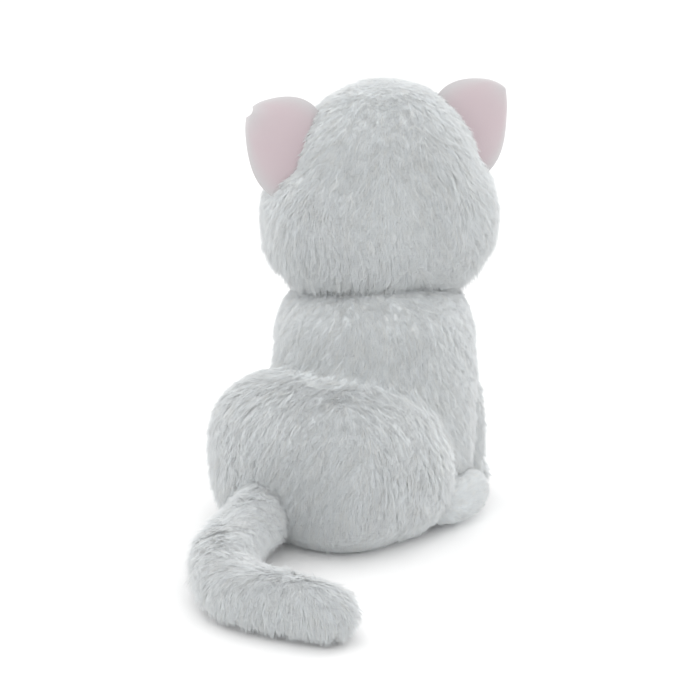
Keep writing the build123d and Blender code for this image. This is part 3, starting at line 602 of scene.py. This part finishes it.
def tail_line(count):
    """Smooth centre line of the tail through its root, two bends and tip, in millimetres."""
    root = TAIL_ROOT / MM
    tip = np.array([TAIL_LOW[0] / MM + 16.5, TAIL_HIGH[1] / MM - 26.0, 16.5])
    knots = np.array([
        root + np.array([2, -14, 1]),
        root + np.array([-1, 6, 0]),
        root + np.array([-12, 45, -5.5]),
        root + np.array([-33, 74, -7.4]),
        root + np.array([-58, 88, -7.5]),
        tip + np.array([12, 3, 0]),
        tip,
    ])
    spaced = np.linspace(0, len(knots) - 1.001, count)
    made = []
    for t in spaced:
        k = int(t)
        f = t - k
        p0, p1 = knots[max(k - 1, 0)], knots[k]
        p2, p3 = knots[min(k + 1, len(knots) - 1)], knots[min(k + 2, len(knots) - 1)]
        made.append(0.5 * (2 * p1 + (p2 - p0) * f + (2 * p0 - 5 * p1 + 4 * p2 - p3) * f * f
                           + (3 * p1 - p0 - 3 * p2 + p3) * f ** 3))
    return np.array(made)


def make_tail(fabric, fur):
    line = tail_line(40)
    share = np.linspace(0, 1, len(line))
    radii = 16.4 - 1.6 * share + 0.5 * np.sin(share * 19)
    forms = [in_metres(tube(line, radii)), in_metres(blob(line[-1], (14.6, 14.6, 13.2)))]
    piece = skin("tail_skin", forms, voxel=0.0022, smooth=10, shape=on_floor)
    piece.data.materials.append(fabric)
    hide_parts("tail_plush")
    spots = line * MM
    ways = unit(np.gradient(spots, axis=0))

    def comb(roots):
        near = nearest(roots, spots)
        return 0.12 * ways[near] + np.array([0, 0, -1.0])

    def keep(roots, normals):
        return (roots[:, 2] > 0.0015) & (roots[:, 1] > TAIL_ROOT[1] + 0.004)

    roots, normals = sample_surface(piece, TAIL_DENSITY, keep)
    length = even_length(PILE)
    slope = slope_for(normals)
    furs = grow("tail_fur", roots, normals, comb, length, STRAND, slope, 0.20, 41, fur, None, EVEN_TONES)
    for soft in [piece, *furs]:
        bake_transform(soft)


EYE_SPOTS = [head_point(-24, -41, 61), head_point(24, -41, 61)]
EYE_RADIUS = 0.0154
EYE_BARE = 0.0188  # no strand grows nearer to an eye's centre
EYE_TRIM, EYE_TRIM_OVER = 0.0165, 0.012  # strands shorten towards an eye over this distance
NOSE_BARE = 0.0050
EYE_ROOM = 0.0178  # radius of the socket, which also clears the lid
NOSE_SPOT = head_point(0, -72, 53)


def sink(points, centre, radius):
    """Draws the skin that passes in front of a centre back into a round hollow behind it."""
    away = points - centre
    reach = np.linalg.norm(away, axis=1)
    inside = np.flatnonzero(reach < radius)
    nearest_reach = reach[inside].min()
    front = away[inside[np.argmin(reach[inside])]] / nearest_reach
    ahead = away[inside] @ front
    flat = away[inside] - ahead[:, None] * front
    wide = np.linalg.norm(flat, axis=1)
    share = np.sqrt((reach[inside] - nearest_reach) / (radius - nearest_reach))
    angle = (np.arctan2(wide, -ahead) * share)[:, None]
    sunk = points.copy()
    sunk[inside] = centre + radius * (np.sin(angle) * unit(flat) - np.cos(angle) * front)
    return sunk


def make_head(fabric, fur):
    forms = [
        in_head(blob((LEAN, -2, 60), (57, 54, 62), 2.1)),
        in_head(blob((LEAN / 2, -4, 42), (70.5, 54, 47), 2.35)),
    ]

    def hollow(points):
        """Hollows the underside round the neck and sinks a socket behind each eye."""
        away = points - PIVOT
        reach = np.linalg.norm(away, axis=1)[:, None]
        points = np.where(reach < NECK_ROOM, PIVOT + away / reach * NECK_ROOM, points)
        for spot in EYE_SPOTS:
            points = sink(points, spot, EYE_ROOM)
        return points

    piece = skin("head_skin", forms, voxel=0.0028, smooth=10, shape=hollow)
    piece.data.materials.append(fabric)
    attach(piece, "head")
    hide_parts("head_plush")

    def local(roots):
        return (roots - PIVOT) @ HEAD_TURN

    def keep(roots, normals):
        clear = np.ones(len(roots), dtype=bool)
        for spot in EYE_SPOTS:
            clear &= np.linalg.norm(roots - spot, axis=1) > EYE_BARE
        clear &= np.linalg.norm(roots - PIVOT, axis=1) > NECK_ROOM + 0.003
        return clear

    def comb(roots):
        place = local(roots)
        down = np.tile(-HEAD_Z, (len(roots), 1))
        outward = place.copy()
        outward[:, 2] = 0
        outward = unit(outward) @ HEAD_TURN.T
        high = np.clip((place[:, 2] / MM - 62) / 45, 0, 1)[:, None]
        down = down - 0.35 * high * HEAD_Y
        outward = outward * (1 - high)
        from_nose = unit(roots - NOSE_SPOT)
        face = np.clip((-place[:, 1] / MM - 18) / 25, 0, 1)[:, None]
        return (1 - face) * (down + 0.25 * outward) + face * (1.2 * from_nose + 0.25 * down)

    def length(roots):
        place = local(roots) / MM
        pile = np.full(len(roots), PILE)
        face = np.clip((-place[:, 1] - 20) / 25, 0, 1)
        pile *= 1 - 0.5 * face
        cheek = np.clip((np.abs(place[:, 0]) - 38) / 20, 0, 1) * np.clip((55 - place[:, 2]) / 20, 0, 1)
        pile *= 1 + 0.22 * cheek
        pile *= 1 + 0.75 * np.clip((18 - place[:, 2]) / 14, 0, 1) * (1 - face)
        pile *= 1 - 0.30 * np.clip((place[:, 2] - 85) / 25, 0, 1)
        for spot in EYE_SPOTS:
            near = np.linalg.norm(roots - spot, axis=1)
            pile *= np.clip((near - EYE_TRIM) / EYE_TRIM_OVER, 0.3, 1)
        return pile

    roots, normals = sample_surface(piece, HEAD_DENSITY, keep)
    slope = slope_for(normals, below=45.0)
    grow("head_fur", roots, normals, comb, length, STRAND, slope, 0.20, 51, fur, "head", EVEN_TONES)


def make_face(fabric, fur):
    """Muzzle, jaw and nose."""
    def from_nose(roots):
        return unit(roots - head_point(0, -78, 50))

    def off_nose(roots, normals):
        return np.linalg.norm(roots - NOSE_SPOT, axis=1) > NOSE_BARE

    pads = [
        in_head(blob((-8.5, -58, 46.5), (11.5, 13.5, 8), 2.2)),
        in_head(blob((8.5, -58, 46.5), (11.5, 13.5, 8), 2.2)),
        in_head(blob((0, -57, 49), (9, 14, 9), 2.1)),
    ]
    make_soft_face("muzzle", pads, "muzzle", "head", from_nose, off_nose, fabric, fur, 61)
    chin = [in_head(blob((0, -54, 31.5), (14, 13.5, 5.2), 2.2))]
    make_soft_face("jaw", chin, "lower_jaw", "jaw", from_nose, off_nose, fabric, fur, 62)
    make_nose()


def make_soft_face(name, forms, node, body, comb, keep, fabric, fur, seed):
    piece = skin(name + "_skin", forms, voxel=0.0014, smooth=6)
    piece.data.materials.append(fabric)
    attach(piece, body)
    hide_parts(node)
    roots, normals = sample_surface(piece, 2.2, keep)
    length = even_length(FACE_PILE)
    slope = radians(30)
    grow(name + "_fur", roots, normals, comb, length, 0.00045, slope, 0.2, seed, fur, body, EVEN_TONES)


def make_nose():
    """Small rounded three-sided nose."""
    points, faces = blob((0, 0, 0), (5.4, 3.4, 3.6), 2.6)
    taper = np.clip((points[:, 2] + 3.6) / 7.2, 0, 1)
    points[:, 0] *= 0.45 + 0.62 * taper
    points = points + np.array([0, -72.2, 53.0])
    piece = object_from("nose_pad", *in_head((points, faces)))
    for polygon in piece.data.polygons:
        polygon.use_smooth = True
    smooth = piece.modifiers.new("smooth", "SUBSURF")
    smooth.levels = 1
    smooth.render_levels = 1
    pale, deep = (0.80, 0.42, 0.46), (0.72, 0.34, 0.39)
    material = patterned("nose_pink", pale, deep, 160, (0.35, 0.5), 900, 0.0002, coat=0.2)
    piece.data.materials.append(material)
    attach(piece, "head")
    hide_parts("nose")


def make_ear(side, material):
    """Cupped padded ear: two faces joined by a rolled rim."""
    low_in, low_out, tip = (np.array(corner) for corner in (EAR_LOW_IN, EAR_LOW_OUT, EAR_TIP))
    rows, columns = 22, 26
    front, rear, rim_share = [], [], []
    for r in range(rows):
        f = EAR_END * r / (rows - 1)
        narrow = (1 - f ** 2.6) ** 0.62
        middle = (low_in + low_out) / 2 * (1 - f) + tip * f
        bulge = 1 + 0.18 * sin(pi * min(f * 1.15, 1))
        half = (low_out - low_in) / 2 * narrow * bulge
        for c in range(columns):
            g = -1 + 2 * c / (columns - 1)
            spot = middle + half * g
            edge = max(abs(g) ** 3.0, f ** 5)
            thick = 3.0 * sqrt(max(1 - max(abs(g) ** 4, f ** 7), 0.0)) + 0.15
            cup = 7.0 * (g * g) * (0.35 + 0.65 * f) - 5.5 * f * f - 2.0
            front.append((side * spot[0] + LEAN / 2, EAR_BACK - cup - thick, spot[1]))
            rear.append((side * spot[0] + LEAN / 2, EAR_BACK - cup + thick, spot[1]))
            rim_share.append(edge)
    total = rows * columns
    points = np.array(front + rear)
    faces = []
    for r in range(rows - 1):
        for c in range(columns - 1):
            a = r * columns + c
            quad = (a, a + 1, a + columns + 1, a + columns)
            faces.append(quad)
            faces.append(tuple(total + k for k in reversed(quad)))
    edge_loop = [r * columns for r in range(rows)]
    edge_loop += [(rows - 1) * columns + c for c in range(1, columns)]
    edge_loop += [r * columns + columns - 1 for r in range(rows - 2, -1, -1)]
    edge_loop += [c for c in range(columns - 2, 0, -1)]
    for here, after in zip(edge_loop, edge_loop[1:] + edge_loop[:1]):
        faces.append((here, here + total, after + total, after))
    word = "left" if side > 0 else "right"
    piece = object_from("ear_pad_" + word, *in_head((points, faces)))
    mesh = piece.data
    rim = mesh.attributes.new("rim", "FLOAT", "POINT")
    rim.data.foreach_set("value", np.array(rim_share + rim_share))
    tidy = bmesh.new()
    tidy.from_mesh(mesh)
    bmesh.ops.remove_doubles(tidy, verts=tidy.verts, dist=0.00002)
    bmesh.ops.recalc_face_normals(tidy, faces=tidy.faces)
    tidy.to_mesh(mesh)
    tidy.free()
    for polygon in mesh.polygons:
        polygon.use_smooth = True
    round_off = piece.modifiers.new("round", "SUBSURF")
    round_off.levels = 2
    round_off.render_levels = 2
    apply_all(piece)
    piece.data.materials.append(material)
    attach(piece, "head")
    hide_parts("ear_" + word)


def ear_velour():
    """Short pink velour, paler towards the rim."""
    material, tree, shader = new_material("ear_pink")
    rim = tree.nodes.new("ShaderNodeAttribute")
    rim.attribute_name = "rim"
    mottled = noise(tree, 90, 4)
    add = tree.nodes.new("ShaderNodeMath")
    add.operation = "MULTIPLY_ADD"
    tree.links.new(mottled, add.inputs[0])
    add.inputs[1].default_value = 0.22
    tree.links.new(rim.outputs["Fac"], add.inputs[2])
    stops = [(0.06, (0.516, 0.426, 0.452)), (0.42, (0.52, 0.443, 0.464)), (0.95, (0.516, 0.495, 0.503))]
    tree.links.new(ramp(tree, add.outputs[0], stops), shader.inputs["Base Color"])
    shader.inputs["Roughness"].default_value = 0.9
    shader.inputs["Sheen Weight"].default_value = 0.35
    shader.inputs["Sheen Roughness"].default_value = 0.5
    bump(tree, shader, noise(tree, 1500, 3), 0.35, 0.0003)
    return material


def eye_material(name, centre):
    """Glossy eye: pupil, iris and dark rim about the forward axis."""
    material, tree, shader = new_material(name)
    place = tree.nodes.new("ShaderNodeTexCoord")
    minus = tree.nodes.new("ShaderNodeVectorMath")
    minus.operation = "SUBTRACT"
    tree.links.new(place.outputs["Object"], minus.inputs[0])
    minus.inputs[1].default_value = tuple(centre)
    cross = tree.nodes.new("ShaderNodeVectorMath")
    cross.operation = "CROSS_PRODUCT"
    tree.links.new(minus.outputs[0], cross.inputs[0])
    cross.inputs[1].default_value = tuple(-HEAD_Y / EYE_RADIUS)
    reach = tree.nodes.new("ShaderNodeVectorMath")
    reach.operation = "LENGTH"
    tree.links.new(cross.outputs[0], reach.inputs[0])
    wobble = tree.nodes.new("ShaderNodeMath")
    wobble.operation = "MULTIPLY_ADD"
    tree.links.new(noise(tree, 420, 2), wobble.inputs[0])
    wobble.inputs[1].default_value = 0.05
    tree.links.new(reach.outputs["Value"], wobble.inputs[2])
    stops = [
        (0.36, (0.004, 0.004, 0.006)), (0.40, (0.10, 0.30, 0.42)), (0.56, (0.16, 0.42, 0.52)),
        (0.68, (0.05, 0.16, 0.26)), (0.73, (0.004, 0.005, 0.008)), (1.0, (0.004, 0.004, 0.006)),
    ]
    tree.links.new(ramp(tree, wobble.outputs[0], stops), shader.inputs["Base Color"])
    shader.inputs["Roughness"].default_value = 0.12
    shader.inputs["Coat Weight"].default_value = 1.0
    shader.inputs["Coat Roughness"].default_value = 0.03
    return material


# ---------------------------------------------------------------- CAD nodes that stay
def dress_hard_parts():
    """Gives every CAD node that stays its own kind of surface."""
    white_abs = patterned(
        "white_abs", (0.80, 0.81, 0.82), (0.76, 0.77, 0.79), 60, (0.38, 0.5), 1400, 0.00008)
    lilac_abs = patterned(
        "lilac_abs", (0.42, 0.40, 0.52), (0.38, 0.36, 0.48), 70, (0.45, 0.6), 1600, 0.0001)
    dark_abs = patterned(
        "dark_abs", (0.10, 0.10, 0.12), (0.07, 0.07, 0.085), 90, (0.4, 0.55), 1500, 0.0001)
    nylon = patterned(
        "gear_nylon", (0.83, 0.80, 0.70), (0.78, 0.75, 0.65), 120, (0.35, 0.5), 1500, 0.00006)
    steel = patterned(
        "bright_steel", (0.72, 0.72, 0.73), (0.6, 0.6, 0.62), 300, (0.22, 0.38), 2500, 0.00004, 1.0)
    can = patterned(
        "motor_can", (0.66, 0.66, 0.64), (0.55, 0.55, 0.54), 200, (0.3, 0.45), 2200, 0.00005, 1.0)
    brass = patterned(
        "contact_nickel", (0.75, 0.73, 0.68), (0.62, 0.6, 0.55), 260, (0.2, 0.35), 2000, 0.00004, 1.0)
    board = patterned(
        "board_green", (0.03, 0.24, 0.09), (0.02, 0.16, 0.06), 240, (0.35, 0.5), 900, 0.00005, 0, 0.4)
    jacket = patterned(
        "cell_jacket", (0.10, 0.20, 0.42), (0.08, 0.16, 0.35), 80, (0.2, 0.3), 800, 0.00003, 0.3, 0.5)
    paper = patterned(
        "cone_paper", (0.06, 0.06, 0.06), (0.03, 0.03, 0.03), 300, (0.7, 0.9), 1200, 0.0001)
    lid = patterned(
        "lid_cloth", (0.50, 0.52, 0.53), (0.43, 0.45, 0.46), 220, (0.75, 0.9), 1500, 0.0002, sheen=0.2)
    kinds = {
        "shell_plastic": white_abs, "base_plastic": lilac_abs, "control_plastic": dark_abs,
        "chip_plastic": dark_abs, "gear_plastic": nylon, "steel": steel, "motor_can": can,
        "contact_plate": brass, "circuit_board": board, "cell_jacket": jacket, "speaker_cone": paper,
        "eyelid_plastic": lid,
    }
    for part in frame["record"]["subparts"]:
        material = kinds.get(part["material_slot"])
        if part["node"] == "eye_right":
            material = eye_material("eye_right_gloss", EYE_SPOTS[0])
        if part["node"] == "eye_left":
            material = eye_material("eye_left_gloss", EYE_SPOTS[1])
        piece = bpy.data.objects.get(part["node"])
        if material is None or piece is None:
            continue
        piece.data.materials.clear()
        piece.data.materials.append(material)


# ---------------------------------------------------------------- build
add_camera()
add_light()
add_floor()
PLUSH = patterned(
    "plush_backing", (0.80, 0.83, 0.84), (0.74, 0.77, 0.78), 60, (0.85, 0.95), 700, 0.0006, sheen=0.3)
FUR = fur_materials()
make_torso(PLUSH, FUR)
make_legs(PLUSH, FUR)
make_tail(PLUSH, FUR)
make_head(PLUSH, FUR)
make_face(PLUSH, FUR)
VELOUR = ear_velour()
make_ear(1, VELOUR)
make_ear(-1, VELOUR)
dress_hard_parts()
